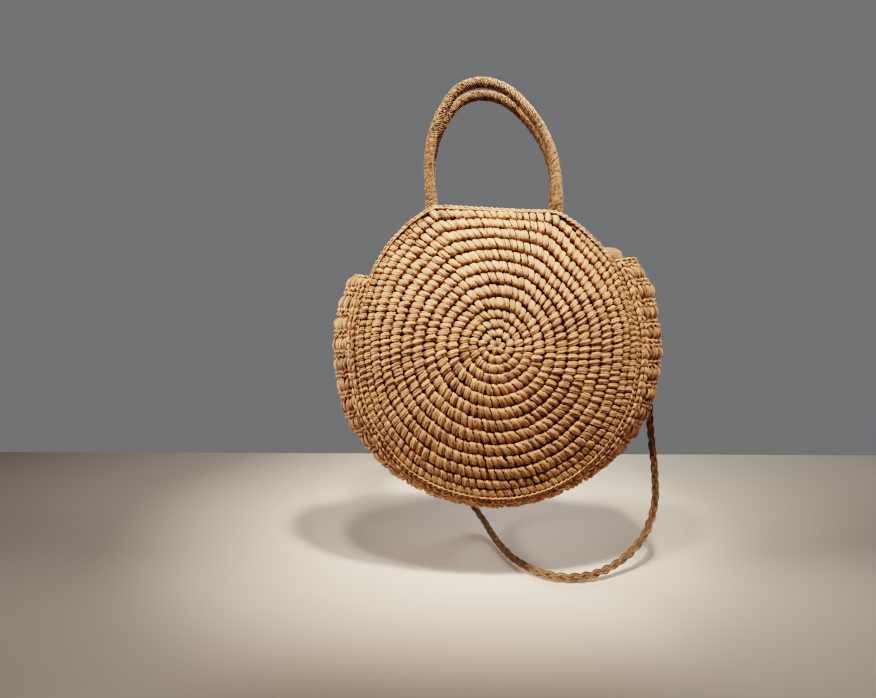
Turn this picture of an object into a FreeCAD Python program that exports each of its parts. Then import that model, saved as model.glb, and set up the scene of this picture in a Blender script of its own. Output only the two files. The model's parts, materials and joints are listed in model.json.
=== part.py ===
import FreeCAD
import Part
import os
from math import acos, asin, atan2, cos, degrees, hypot, pi, radians, sin, sqrt, tan

# A round straw bag. Two crocheted faces and a bowed gusset make the body, a crocheted chain
# joins them along each rim, and a cotton lining with a magnetic snap sits inside. Two wrapped
# rope handles stand in the mouth, and a plaited shoulder strap hangs from the gusset's ends.
# Millimetres and degrees. X runs to the right, Y to the back and Z up, and the origin is the
# point under the two handles' crowns where a hook or a hand carries the bag.

V = FreeCAD.Vector

# Whole bag
RIM_HALF_WIDTH = 163.0        # middle of a face to the rim chain's middle at its side
RIM_DEPTH = 173.0             # and down to the bottom
RIM_TOP_HEIGHT = 163.5        # and up to the straight stretch between the handles
RIM_TOP_WIDTH = 135.0         # that straight stretch
RIM_CORNER_RADIUS = 14.0      # the rim's rounding at the handles' feet
RIM_SHOULDER_ANGLE = 28.0     # way out of the bag where the side goes over into the shoulder
RIM_FLATNESS_SHARE = 0.27     # how far past the middle the sides' curve is centred, to the rim's depth
MOUTH_WIDTH = 50.0            # rim to rim across the mouth
BASE_WIDTH = 96.0             # rim to rim at the bottom
SEAT_GAP = 0.3                # between soft pieces that lie on each other
CUT_OVERRUN = 5.0             # how far a cutting tool runs past what it cuts

# Faces
FACE_THICKNESS = 7.0
FACE_CROWN = 16.0             # how far a face swells out past its rim

# Rim chains
CHAIN_DIAMETER = 7.0

# Gusset
GUSSET_THICKNESS = 7.0
GUSSET_BASE_BOW = 22.0        # how far the gusset bows out past the rims at the bottom
GUSSET_SIDE_BOW = 31.0        # at the sides
GUSSET_EAR_BOW = 42.0         # and at its two free ends
GUSSET_END_ANGLE = 25.4       # way out of the rim where the free ends lie
EAR_DROOP_SHARE = 0.3         # share of the end angle at which the ears point upwards
GUSSET_RIM_GAP = 0.8          # between the gusset's edges and the rim chains
GUSSET_SPANS = 9              # lofted spans from a free end to the bottom

# Lining
LINING_THICKNESS = 0.8
LINING_GAP = 0.9              # between the lining and the straw, where the snap's washers lie
LINING_RIM_MARGIN = 10.0      # rim chain to the lining's sewn edge

# Handles
HANDLE_DIAMETER = 12.5
HANDLE_CORE_DIAMETER = 8.5
HANDLE_CORE_GAP = 0.1
HANDLE_SPACING = 153.0        # leg to leg
HANDLE_BEND_HEIGHT = 14.5     # rim chain up to the point where a leg bends
HANDLE_LEG_LENGTH = 29.0      # straight part of a leg above its bending point
HANDLE_SIDE_RADIUS = 140.0
HANDLE_CROWN_RADIUS = 52.0
TAIL_DROP = 12.0              # rim chain down to where a sewn tail starts to lean on the lining
TAIL_LENGTH = 28.0            # from there down to the tail's tip
TAIL_SEAT_GAP = 0.5           # between a tail and the lining
TAIL_END_WIDTH = 16.0
TAIL_END_THICKNESS = 8.0

# Magnetic snap
SNAP_DROP = 30.0              # rim chain of the mouth down to the snap
SNAP_DIAMETER = 18.0
SNAP_THICKNESS = 3.0
SNAP_STUD_DIAMETER = 8.0
SNAP_STUD_HEIGHT = 2.2
SNAP_RECESS_CLEARANCE = 0.3
SNAP_POST_DIAMETER = 3.4
SNAP_POST_CLEARANCE = 0.3
WASHER_DIAMETER = 16.0
WASHER_THICKNESS = 0.5
WASHER_GAP = 0.1              # between a washer and the lining that it backs

# Shoulder strap
STRAP_DIAMETER = 11.0
STRAP_BEND_SHARE = 0.45       # share of the shorter run that an arc of the route takes
ANCHOR_LENGTH = 24.0
ANCHOR_DIAMETER = 15.0
ANCHOR_TAPER_LENGTH = 8.0     # lower part of an anchor, which narrows to the strap
ANCHOR_ANGLE_SHARE = 0.75     # share of the gusset's end angle at which an anchor is sewn on
ANCHOR_TURN = 42.0            # from the gusset's crown towards the back
ANCHOR_SEAT_GAP = 0.9         # between an anchor's middle line's seat and the bowed gusset
STRAP_EXIT_LENGTH = 30.0      # how far the strap runs straight out of an anchor
# Middle line of the strap between its two anchors, right to left, from the middle of the body
STRAP_ROUTE = (
    (200.0, 34.0, 2.0), (203.0, 33.0, -46.0), (204.0, 30.0, -96.0), (209.0, 26.0, -146.0),
    (210.0, 20.0, -194.0), (195.0, 9.0, -231.0), (165.0, -8.0, -254.0), (128.0, -26.0, -267.0),
    (88.0, -36.0, -269.0), (52.0, -24.0, -268.0), (28.0, 12.0, -269.0), (12.0, 56.0, -268.0),
    (1.0, 98.0, -266.0), (-9.0, 131.0, -258.0), (-27.0, 147.0, -240.0), (-53.0, 145.0, -211.0),
    (-83.0, 131.0, -174.0), (-114.0, 112.0, -131.0), (-144.0, 90.0, -84.0), (-170.0, 68.0, -36.0),
    (-188.0, 49.0, 8.0),
)

# What follows from those sizes
chain_radius = CHAIN_DIAMETER / 2
handle_radius = HANDLE_DIAMETER / 2
rim_lean = asin((BASE_WIDTH - MOUTH_WIDTH) / 2 / (RIM_DEPTH + RIM_TOP_HEIGHT))
middle_half_width = BASE_WIDTH / 2 - RIM_DEPTH * sin(rim_lean)
handle_y = MOUTH_WIDTH / 2 - chain_radius - handle_radius - SEAT_GAP
rim_top_z = RIM_TOP_HEIGHT * cos(rim_lean)
crown_turn = acos((HANDLE_SIDE_RADIUS - HANDLE_SPACING / 2) / (HANDLE_SIDE_RADIUS - HANDLE_CROWN_RADIUS))
arch_rise = (HANDLE_LEG_LENGTH + (HANDLE_SIDE_RADIUS - HANDLE_CROWN_RADIUS) * sin(crown_turn)
             + HANDLE_CROWN_RADIUS)
middle_z = handle_radius - arch_rise - HANDLE_BEND_HEIGHT - rim_top_z
pivot_z = handle_radius - arch_rise
face_sphere = (RIM_DEPTH ** 2 + FACE_CROWN ** 2) / (2 * FACE_CROWN)

# The rim's tangent arcs, as seen from the front: middles, radii and where each gives way to the next
side_middle = V(-RIM_FLATNESS_SHARE * RIM_DEPTH, 0, 0)
side_radius = RIM_HALF_WIDTH - side_middle.x
base_radius = (side_radius ** 2 - side_middle.x ** 2 - RIM_DEPTH ** 2) / (2 * (side_radius - RIM_DEPTH))
base_middle = V(0, 0, base_radius - RIM_DEPTH)
base_turn = atan2(base_middle.z, -side_middle.x)
shoulder_turn = radians(RIM_SHOULDER_ANGLE)
shoulder_way = V(cos(shoulder_turn), 0, sin(shoulder_turn))
shoulder_start = side_middle + shoulder_way * side_radius
corner_middle = V(RIM_TOP_WIDTH / 2, 0, RIM_TOP_HEIGHT - RIM_CORNER_RADIUS)
corner_span = shoulder_start - corner_middle
shoulder_radius = ((corner_span.dot(corner_span) - RIM_CORNER_RADIUS ** 2)
                   / (2 * (corner_span.dot(shoulder_way) - RIM_CORNER_RADIUS)))
shoulder_middle = shoulder_start - shoulder_way * shoulder_radius
corner_way = (corner_middle - shoulder_middle) * (1 / (shoulder_radius - RIM_CORNER_RADIUS))
corner_turn = atan2(corner_way.z, corner_way.x)


def arc(start, middle, end):
    """An edge along the circle through three points."""
    return Part.Arc(start, middle, end).toShape()


def line(start, end):
    """A straight edge."""
    return Part.LineSegment(start, end).toShape()


def on_rim(middle, radius, way, side):
    """The point of one of the rim's arcs in a way out of the bag, on the right (1) or left (-1) side."""
    return V(side * (middle.x + radius * cos(way)), 0, middle.z + radius * sin(way))


def rim_half(inset, side):
    """Half of a face's outline, from the bottom up to the middle of the top, as four arcs and a line."""
    turns = (
        (base_middle, base_radius, -pi / 2, base_turn),
        (side_middle, side_radius, base_turn, shoulder_turn),
        (shoulder_middle, shoulder_radius, shoulder_turn, corner_turn),
        (corner_middle, RIM_CORNER_RADIUS, corner_turn, pi / 2),
    )
    edges = []
    for middle, radius, first, last in turns:
        ways = (first, (first + last) / 2, last)
        edges.append(arc(*[on_rim(middle, radius - inset, way, side) for way in ways]))
    top = RIM_TOP_HEIGHT - inset
    edges.append(line(V(side * corner_middle.x, 0, top), V(0, 0, top)))
    return edges


def rim_wire(inset):
    """A face's outline, moved in from the rim: round below, fuller at the shoulders and flat on top."""
    return Part.Wire(Part.__sortEdges__(rim_half(inset, 1) + rim_half(inset, -1)))


def to_front(shape):
    """Leans a shape made on the XZ plane and moves it to the front face's place."""
    placed = shape.copy()
    placed.rotate(V(0, 0, 0), V(1, 0, 0), -degrees(rim_lean))
    placed.translate(V(0, -middle_half_width, middle_z))
    return placed


def to_back(shape):
    """The same piece on the back of the bag."""
    return shape.mirror(V(0, 0, 0), V(0, 1, 0))


def crowned_sheet(outer_depth, thickness, outline):
    """A part of a hollow sphere over a face, whose outer side lies outer_depth under the straw's middle."""
    outer = face_sphere - outer_depth
    inner = outer - thickness
    reach = hypot(corner_middle.x, RIM_TOP_HEIGHT) + RIM_CORNER_RADIUS + CUT_OVERRUN
    centre_y = face_sphere - FACE_CROWN
    spread_outer = asin(reach / outer)
    spread_inner = asin(reach / inner)

    def at(radius, angle):
        return V(radius * sin(angle), centre_y - radius * cos(angle), 0)

    section = Part.Wire([
        arc(at(outer, 0), at(outer, spread_outer / 2), at(outer, spread_outer)),
        line(at(outer, spread_outer), at(inner, spread_inner)),
        arc(at(inner, spread_inner), at(inner, spread_inner / 2), at(inner, 0)),
        line(at(inner, 0), at(outer, 0)),
    ])
    dome = Part.Face(section).revolve(V(0, 0, 0), V(0, 1, 0), 360)
    depth = 2 * (FACE_CROWN + FACE_THICKNESS + CUT_OVERRUN)
    prism = Part.Face(outline).extrude(V(0, 2 * depth, 0))
    prism.translate(V(0, -depth, 0))
    return dome.common(prism).Solids[0]


def face():
    """One crocheted face: a crowned sheet with the rim's outline."""
    outline = rim_wire(chain_radius + SEAT_GAP)
    return to_front(crowned_sheet(-FACE_THICKNESS / 2, FACE_THICKNESS, outline))


def tube(path, radius):
    """A round tube along a wire of lines and tangent arcs: a cylinder or a piece of a ring for each edge."""
    spans = []
    for edge in path.OrderedEdges:
        start = edge.valueAt(edge.FirstParameter)
        along = edge.tangentAt(edge.FirstParameter)
        if isinstance(edge.Curve, Part.Circle):
            disc = Part.Face(Part.Wire([Part.Circle(start, along, radius).toShape()]))
            sweep = degrees(edge.LastParameter - edge.FirstParameter)
            spans.append(disc.revolve(edge.Curve.Center, edge.Curve.Axis, sweep))
        else:
            spans.append(Part.makeCylinder(radius, edge.Length, start, along))
    return spans[0].multiFuse(spans[1:]).Solids[0]


def rim_chain():
    """The crocheted chain that joins a face to the gusset and edges its mouth."""
    return to_front(tube(rim_wire(0), chain_radius))


def gusset_frame(angle):
    """The gusset's arc where the rim faces a way: its centre, outward way, radius and half turn.

    The bow changes with the square of the height from the middle, and above it the ears droop.
    """
    middle, size = (side_middle, side_radius) if angle > base_turn else (base_middle, base_radius)
    rim = on_rim(middle, size, angle, 1)
    end = radians(GUSSET_END_ANGLE)
    lift = max(rim.z, 0) / (side_radius * sin(end))
    drop = max(-rim.z, 0) / RIM_DEPTH
    bow = (GUSSET_SIDE_BOW + (GUSSET_EAR_BOW - GUSSET_SIDE_BOW) * lift ** 2
           + (GUSSET_BASE_BOW - GUSSET_SIDE_BOW) * drop ** 2)
    way = angle * (1 - (1 - EAR_DROOP_SHARE) * lift)
    rim_y = middle_half_width - rim.z * sin(rim_lean)
    radius = (rim_y ** 2 + bow ** 2) / (2 * bow)
    outward = V(cos(way), 0, sin(way))
    start = V(rim.x, 0, middle_z + rim.z * cos(rim_lean))
    return start + outward * (bow - radius), outward, radius, atan2(rim_y, radius - bow)


def gusset_section(angle, depth, thickness, margin, mirrored):
    """One closed section of a band inside the gusset's arc, split at its crown."""
    centre, outward, radius, half_turn = gusset_frame(angle)
    if mirrored:
        centre = V(-centre.x, centre.y, centre.z)
        outward = V(-outward.x, outward.y, outward.z)
    outer = radius - depth
    inner = outer - thickness
    end = half_turn - margin / radius

    def at(size, turn):
        return centre + outward * (size * cos(turn)) + V(0, size * sin(turn), 0)

    return Part.Wire([
        arc(at(outer, -end), at(outer, -end / 2), at(outer, 0)),
        arc(at(outer, 0), at(outer, end / 2), at(outer, end)),
        line(at(outer, end), at(inner, end)),
        arc(at(inner, end), at(inner, end / 2), at(inner, 0)),
        arc(at(inner, 0), at(inner, -end / 2), at(inner, -end)),
        line(at(inner, -end), at(outer, -end)),
    ])


def gusset_band(depth, thickness, margin):
    """A band lofted round the bag from one free end, under the bottom, to the other."""
    end = radians(GUSSET_END_ANGLE)
    step = (end + pi / 2) / GUSSET_SPANS
    angles = [end - step * count for count in range(GUSSET_SPANS)]
    right = [gusset_section(angle, depth, thickness, margin, False) for angle in angles]
    bottom = [gusset_section(-pi / 2, depth, thickness, margin, False)]
    left = [gusset_section(angle, depth, thickness, margin, True) for angle in reversed(angles)]
    return Part.makeLoft(right + bottom + left, True, False)


def gusset():
    """The crocheted side and bottom band, which bows out between the two rim chains."""
    return gusset_band(-GUSSET_THICKNESS / 2, GUSSET_THICKNESS, chain_radius + GUSSET_RIM_GAP)


def lining_gusset():
    """The lining's side strip, inside the gusset."""
    depth = GUSSET_THICKNESS / 2 + LINING_GAP
    return gusset_band(depth, LINING_THICKNESS, LINING_RIM_MARGIN)


def lining_depth():
    """How deep under the straw's middle the lining's outer side lies."""
    return FACE_THICKNESS / 2 + LINING_GAP


def snap_axis():
    """Snap place on a face: the sphere's centre and the way out through the snap, before leaning."""
    height = RIM_TOP_HEIGHT - SNAP_DROP
    centre = V(0, face_sphere - FACE_CROWN, 0)
    tilt = asin(height / face_sphere)
    return centre, V(0, -cos(tilt), sin(tilt))


def snap_cylinder(diameter, depth, height):
    """A round piece about the snap's axis, from depth under the straw's middle inwards."""
    centre, way = snap_axis()
    start = centre + way * (face_sphere - depth)
    return Part.makeCylinder(diameter / 2, height, start, way * -1)


def lining_face():
    """The lining behind a face, with the hole for the snap's post."""
    sheet = crowned_sheet(lining_depth(), LINING_THICKNESS, rim_wire(LINING_RIM_MARGIN))
    hole = snap_cylinder(SNAP_POST_DIAMETER + 2 * SNAP_POST_CLEARANCE,
                         lining_depth() - CUT_OVERRUN, 2 * CUT_OVERRUN)
    return to_front(sheet.cut(hole).Solids[0])


def snap_washer():
    """The plate behind the lining that the snap's post goes through."""
    plate = snap_cylinder(WASHER_DIAMETER, lining_depth() - WASHER_GAP - WASHER_THICKNESS, WASHER_THICKNESS)
    hole = snap_cylinder(SNAP_POST_DIAMETER + 2 * SNAP_POST_CLEARANCE,
                         lining_depth() - CUT_OVERRUN, 2 * CUT_OVERRUN)
    return to_front(plate.cut(hole))


def snap_half(has_stud):
    """One half of the snap: a disc on the lining, with its post and a stud or a recess for one."""
    face_depth = lining_depth() + LINING_THICKNESS + SEAT_GAP
    disc = snap_cylinder(SNAP_DIAMETER, face_depth, SNAP_THICKNESS)
    post_start = lining_depth() - LINING_GAP + SEAT_GAP
    post = snap_cylinder(SNAP_POST_DIAMETER, post_start, face_depth - post_start + SNAP_THICKNESS / 2)
    half = disc.fuse(post)
    if has_stud:
        stud_start = face_depth + SNAP_THICKNESS / 2
        stud = snap_cylinder(SNAP_STUD_DIAMETER, stud_start, SNAP_THICKNESS / 2 + SNAP_STUD_HEIGHT)
        return to_front(half.fuse(stud).removeSplitter())
    recess = snap_cylinder(SNAP_STUD_DIAMETER + 2 * SNAP_RECESS_CLEARANCE,
                           face_depth + SNAP_THICKNESS - SNAP_STUD_HEIGHT, SNAP_THICKNESS)
    return to_front(half.cut(recess).removeSplitter())


def handle_path():
    """The middle line of a handle between its two bending points, as lines and tangent arcs."""
    half = HANDLE_SPACING / 2
    side_centre_x = half - HANDLE_SIDE_RADIUS
    leg_top = pivot_z + HANDLE_LEG_LENGTH
    crown_centre_z = leg_top + (HANDLE_SIDE_RADIUS - HANDLE_CROWN_RADIUS) * sin(crown_turn)

    def side(turn, mirror):
        x = side_centre_x + HANDLE_SIDE_RADIUS * cos(turn)
        return V(mirror * x, -handle_y, leg_top + HANDLE_SIDE_RADIUS * sin(turn))

    crown = V(0, -handle_y, crown_centre_z + HANDLE_CROWN_RADIUS)
    foot_right = V(half, -handle_y, pivot_z)
    foot_left = V(-half, -handle_y, pivot_z)
    return Part.Wire([
        line(foot_right, side(0, 1)),
        arc(side(0, 1), side(crown_turn / 2, 1), side(crown_turn, 1)),
        arc(side(crown_turn, 1), crown, side(crown_turn, -1)),
        arc(side(crown_turn, -1), side(crown_turn / 2, -1), side(0, -1)),
        line(side(0, -1), foot_left),
    ])


def handle_feet():
    """The two bending points of a handle."""
    return [V(side * HANDLE_SPACING / 2, -handle_y, pivot_z) for side in (-1, 1)]


def handle_core():
    """The rope inside a handle."""
    return tube(handle_path(), HANDLE_CORE_DIAMETER / 2)


def handle_wrap():
    """The straw wound round the rope, closed by a round end at each bending point."""
    outside = tube(handle_path(), handle_radius)
    for foot in handle_feet():
        outside = outside.fuse(Part.makeSphere(handle_radius, foot))
    inside = tube(handle_path(), HANDLE_CORE_DIAMETER / 2 + HANDLE_CORE_GAP)
    return outside.cut(inside).removeSplitter()


def straw_inner_y(x, z):
    """Y of the front lining's inner side at a place in the bag's frame."""
    up = (z - middle_z) / cos(rim_lean)
    depth = lining_depth() + LINING_THICKNESS
    swell = sqrt((face_sphere - depth) ** 2 - x ** 2 - up ** 2) - (face_sphere - FACE_CROWN)
    return -middle_half_width + up * sin(rim_lean) - swell * cos(rim_lean)


def handle_tails():
    """The sewn ends of a handle inside the mouth: upright past the rim, then flat on the lining."""
    top_z = pivot_z - handle_radius - SEAT_GAP
    waist_z = pivot_z - HANDLE_BEND_HEIGHT - TAIL_DROP
    tip_z = waist_z - TAIL_LENGTH
    up = V(0, 0, 1)
    tails = []
    for foot in handle_feet():
        tip_y = straw_inner_y(foot.x, tip_z) + TAIL_SEAT_GAP + TAIL_END_THICKNESS / 2
        waist_y = straw_inner_y(foot.x, waist_z) + TAIL_SEAT_GAP + handle_radius
        top = Part.Circle(V(foot.x, foot.y, top_z), up, handle_radius).toShape()
        waist = Part.Circle(V(foot.x, waist_y, waist_z), up, handle_radius).toShape()
        tip = Part.Ellipse(V(foot.x, tip_y, tip_z), TAIL_END_WIDTH / 2, TAIL_END_THICKNESS / 2).toShape()
        sections = [Part.Wire([edge]) for edge in (tip, waist, top)]
        tails.append(Part.makeLoft(sections, True, True))
    return Part.Compound(tails)


def anchor_seat(share, side):
    """Middle of a strap anchor that lies on the gusset's outside, at a share of its end angle."""
    centre, outward, radius, half_turn = gusset_frame(radians(GUSSET_END_ANGLE) * share)
    reach = radius + GUSSET_THICKNESS / 2 + ANCHOR_DIAMETER / 2 + ANCHOR_SEAT_GAP
    turn = radians(ANCHOR_TURN)
    seat = centre + outward * (reach * cos(turn)) + V(0, reach * sin(turn), 0)
    return V(side * seat.x, seat.y, seat.z)


def anchor_way(side):
    """The way up along the gusset's outside, from an anchor's lower end."""
    way = anchor_seat(1, side) - anchor_seat(ANCHOR_ANGLE_SHARE, side)
    way.normalize()
    return way


def strap_points():
    """The strap's route in the bag's frame, from the right anchor's lower end to the left one's."""
    right = anchor_seat(ANCHOR_ANGLE_SHARE, 1)
    left = anchor_seat(ANCHOR_ANGLE_SHARE, -1)
    right_exit = right - anchor_way(1) * STRAP_EXIT_LENGTH
    left_exit = left - anchor_way(-1) * STRAP_EXIT_LENGTH
    free = [V(x, y, z + middle_z) for x, y, z in STRAP_ROUTE]
    return [right, right_exit] + free + [left_exit, left]


def bent_path(points, bend_share):
    """Straight runs joined by tangent arcs as large as the shorter run beside each point allows."""
    edges = []
    at = points[0]
    radii = []
    for before, here, after in zip(points, points[1:], points[2:]):
        back = before - here
        on = after - here
        reach = bend_share * min(back.Length, on.Length)
        back.normalize()
        on.normalize()
        half = (pi - acos(back.dot(on))) / 2
        radius = reach / tan(half)
        radii.append(radius)
        start = here + back * reach
        end = here + on * reach
        way = back + on
        way.normalize()
        crown = here + way * (radius / cos(half) - radius)
        edges.append(line(at, start))
        edges.append(arc(start, crown, end))
        at = end
    edges.append(line(at, points[-1]))
    return Part.Wire(edges), radii


def shoulder_strap():
    """The plaited strap as a plain round tube along its route."""
    path, radii = bent_path(strap_points(), STRAP_BEND_SHARE)
    strap = tube(path, STRAP_DIAMETER / 2)
    straight = pi * (STRAP_DIAMETER / 2) ** 2 * path.Length
    print("strap length %.0f, volume share %.4f" % (path.Length, strap.Volume / straight))
    print("strap radii " + " ".join("%.0f" % radius for radius in radii))
    return strap


def strap_anchor(side):
    """The whipped end of the strap, sewn to the gusset: a sleeve with a rounded top."""
    radius = ANCHOR_DIAMETER / 2
    shoulder = ANCHOR_LENGTH - radius
    throat = STRAP_DIAMETER / 2

    def at(across, along):
        return V(across, 0, along)

    section = Part.Wire([
        line(at(0, 0), at(throat, 0)),
        line(at(throat, 0), at(radius, ANCHOR_TAPER_LENGTH)),
        line(at(radius, ANCHOR_TAPER_LENGTH), at(radius, shoulder)),
        arc(at(radius, shoulder), at(radius * cos(pi / 4), shoulder + radius * sin(pi / 4)),
            at(0, ANCHOR_LENGTH)),
        line(at(0, ANCHOR_LENGTH), at(0, 0)),
    ])
    sleeve = Part.Face(section).revolve(V(0, 0, 0), V(0, 0, 1), 360)
    turn = FreeCAD.Rotation(V(0, 0, 1), anchor_way(side))
    sleeve.Placement = FreeCAD.Placement(anchor_seat(ANCHOR_ANGLE_SHARE, side), turn)
    return sleeve


def pieces():
    """Every node of the bag, by name."""
    front_face = face()
    chain = rim_chain()
    core = handle_core()
    wrap = handle_wrap()
    tails = handle_tails()
    front_lining = lining_face()
    washer = snap_washer()
    return {
        "front_panel": front_face,
        "back_panel": to_back(front_face),
        "gusset": gusset(),
        "front_rim_chain": chain,
        "back_rim_chain": to_back(chain),
        "front_handle_core": core,
        "front_handle_wrap": wrap,
        "front_handle_tails": tails,
        "back_handle_core": to_back(core),
        "back_handle_wrap": to_back(wrap),
        "back_handle_tails": to_back(tails),
        "shoulder_strap": shoulder_strap(),
        "strap_anchor_right": strap_anchor(1),
        "strap_anchor_left": strap_anchor(-1),
        "lining_front": front_lining,
        "lining_back": to_back(front_lining),
        "lining_gusset": lining_gusset(),
        "snap_stud": snap_half(True),
        "snap_socket": to_back(snap_half(False)),
        "snap_washers": Part.Compound([washer, to_back(washer)]),
    }


os.makedirs("parts", exist_ok=True)
for name, shape in pieces().items():
    shape.exportStep(os.path.join("parts", name + ".step"))
    box = shape.optimalBoundingBox()
    print("%-20s solids %d valid %s volume %9.0f  x %6.1f %6.1f y %6.1f %6.1f z %6.1f %6.1f" % (
        name, len(shape.Solids), shape.isValid(), shape.Volume,
        box.XMin, box.XMax, box.YMin, box.YMax, box.ZMin, box.ZMax))
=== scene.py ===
import json
import bpy
import numpy as np
from mathutils import Matrix


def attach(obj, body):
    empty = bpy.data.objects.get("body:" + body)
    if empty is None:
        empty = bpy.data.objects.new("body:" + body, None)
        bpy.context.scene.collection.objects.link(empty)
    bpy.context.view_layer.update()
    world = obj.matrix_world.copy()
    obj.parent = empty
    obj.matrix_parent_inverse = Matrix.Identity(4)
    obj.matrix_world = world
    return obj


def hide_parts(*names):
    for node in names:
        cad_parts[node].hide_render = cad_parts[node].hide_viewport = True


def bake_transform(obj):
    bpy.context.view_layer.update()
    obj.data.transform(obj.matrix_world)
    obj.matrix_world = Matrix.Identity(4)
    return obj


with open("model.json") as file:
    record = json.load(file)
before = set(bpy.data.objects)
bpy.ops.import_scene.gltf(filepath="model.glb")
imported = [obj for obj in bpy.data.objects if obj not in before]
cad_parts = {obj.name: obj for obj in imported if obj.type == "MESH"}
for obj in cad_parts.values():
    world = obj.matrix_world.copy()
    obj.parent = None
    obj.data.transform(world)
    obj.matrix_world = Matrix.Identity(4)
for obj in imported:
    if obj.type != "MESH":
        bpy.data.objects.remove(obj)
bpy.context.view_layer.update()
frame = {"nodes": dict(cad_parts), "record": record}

# The bag's measures in metres: those of its solids, but with the bows and strap ends as it hangs
RIM_HALF_WIDTH = 0.163
RIM_DEPTH = 0.173
RIM_TOP_HEIGHT = 0.1635
RIM_TOP_WIDTH = 0.135
RIM_CORNER_RADIUS = 0.014
RIM_SHOULDER_TURN = np.radians(28.0)
RIM_FLATNESS = 0.27
MOUTH_WIDTH = 0.050
BASE_WIDTH = 0.096
FACE_CROWN = 0.016
CHAIN_RADIUS = 0.0035
GUSSET_BASE_BOW = 0.022
GUSSET_SIDE_BOW = 0.0345
RIGHT_EAR_BOW = 0.037
LEFT_EAR_BOW = 0.028
GUSSET_END_TURN = np.radians(25.4)
EAR_DROOP = 0.3
RIGHT_EAR_ROUNDING = 0.12
LEFT_EAR_ROUNDING = 0.18
LINING_DEPTH = 0.0064
LINING_THICKNESS = 0.0008
LINING_MARGIN = 0.0085
HANDLE_RADIUS = 0.00625
HANDLE_CORE_RADIUS = 0.00425
HANDLE_SPACING = 0.153
HANDLE_BEND_HEIGHT = 0.0145
HANDLE_LEG = 0.029
HANDLE_SIDE_RADIUS = 0.140
HANDLE_CROWN_RADIUS = 0.052
TAIL_DROP = 0.012
TAIL_LENGTH = 0.028
STRAP_DIAMETER = 0.011
ANCHOR_LENGTH = 0.024
ANCHOR_RADIUS = 0.0075
STRAP_ROUTE = (
    (0.17900, 0.02935, -0.24400), (0.18600, 0.03000, -0.27100), (0.19700, 0.03500, -0.31129),
    (0.20600, 0.03500, -0.35929), (0.20500, 0.03100, -0.40929), (0.20900, 0.02600, -0.45929),
    (0.21000, 0.02000, -0.50729), (0.19500, 0.00900, -0.54429), (0.16500, -0.00800, -0.56729),
    (0.12800, -0.02600, -0.58029), (0.08800, -0.03600, -0.58229), (0.05200, -0.02400, -0.58129),
    (0.02800, 0.01200, -0.58229), (0.01200, 0.05600, -0.58129), (0.00100, 0.09800, -0.57929),
    (-0.00900, 0.13100, -0.57129), (-0.02700, 0.14700, -0.55329), (-0.05300, 0.14500, -0.52429),
    (-0.08300, 0.13100, -0.48729), (-0.11400, 0.11200, -0.44429), (-0.14400, 0.09000, -0.39729),
    (-0.16800, 0.06800, -0.34929), (-0.18000, 0.04900, -0.30829), (-0.18000, 0.03200, -0.27700),
    (-0.17400, 0.03000, -0.25000),
)

# What follows from those measures
pivots = {joint["name"]: joint["pos_m"] for joint in frame["record"]["behaviour"]["joints"]}
pivot_z = pivots["front_handle_fold"][2]
handle_y = pivots["back_handle_fold"][1]
lean = np.arcsin((BASE_WIDTH - MOUTH_WIDTH) / 2 / (RIM_DEPTH + RIM_TOP_HEIGHT))
half_depth = BASE_WIDTH / 2 - RIM_DEPTH * np.sin(lean)
middle_z = pivot_z - HANDLE_BEND_HEIGHT - RIM_TOP_HEIGHT * np.cos(lean)


def unit(vectors):
    """Vectors brought to length one along the last axis."""
    return vectors / np.maximum(np.linalg.norm(vectors, axis=-1, keepdims=True), 1e-12)


def smooth(value):
    """A step from 0 to 1 with level ends, 3t² - 2t³, of a value held between 0 and 1."""
    held = np.clip(value, 0.0, 1.0)
    return held * held * (3.0 - 2.0 * held)


def run_of(points):
    """Length along a line up to each of its points."""
    steps = np.linalg.norm(np.diff(points, axis=0), axis=1)
    return np.concatenate([[0.0], np.cumsum(steps)])


def at_run(points, run, places):
    """A line's values at places along its length, each column by linear interpolation."""
    columns = [np.interp(places, run, column) for column in points.T]
    return np.stack(columns, -1)


def rim_arcs():
    """The right half of the rim from the front as tangent arcs: middle, radius, first and last way out."""
    side = np.array([-RIM_FLATNESS * RIM_DEPTH, 0.0])
    side_radius = RIM_HALF_WIDTH - side[0]
    base_radius = (side_radius ** 2 - side[0] ** 2 - RIM_DEPTH ** 2) / (2 * (side_radius - RIM_DEPTH))
    base = np.array([0.0, base_radius - RIM_DEPTH])
    base_turn = np.arctan2(base[1], -side[0])
    way = np.array([np.cos(RIM_SHOULDER_TURN), np.sin(RIM_SHOULDER_TURN)])
    corner = np.array([RIM_TOP_WIDTH / 2, RIM_TOP_HEIGHT - RIM_CORNER_RADIUS])
    span = side + way * side_radius - corner
    shoulder_radius = (span @ span - RIM_CORNER_RADIUS ** 2) / (2 * (span @ way - RIM_CORNER_RADIUS))
    shoulder = side + way * (side_radius - shoulder_radius)
    corner_way = corner - shoulder
    corner_turn = np.arctan2(corner_way[1], corner_way[0])
    return (
        (base, base_radius, -np.pi / 2, base_turn),
        (side, side_radius, base_turn, RIM_SHOULDER_TURN),
        (shoulder, shoulder_radius, RIM_SHOULDER_TURN, corner_turn),
        (corner, RIM_CORNER_RADIUS, corner_turn, np.pi / 2),
    )


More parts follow.
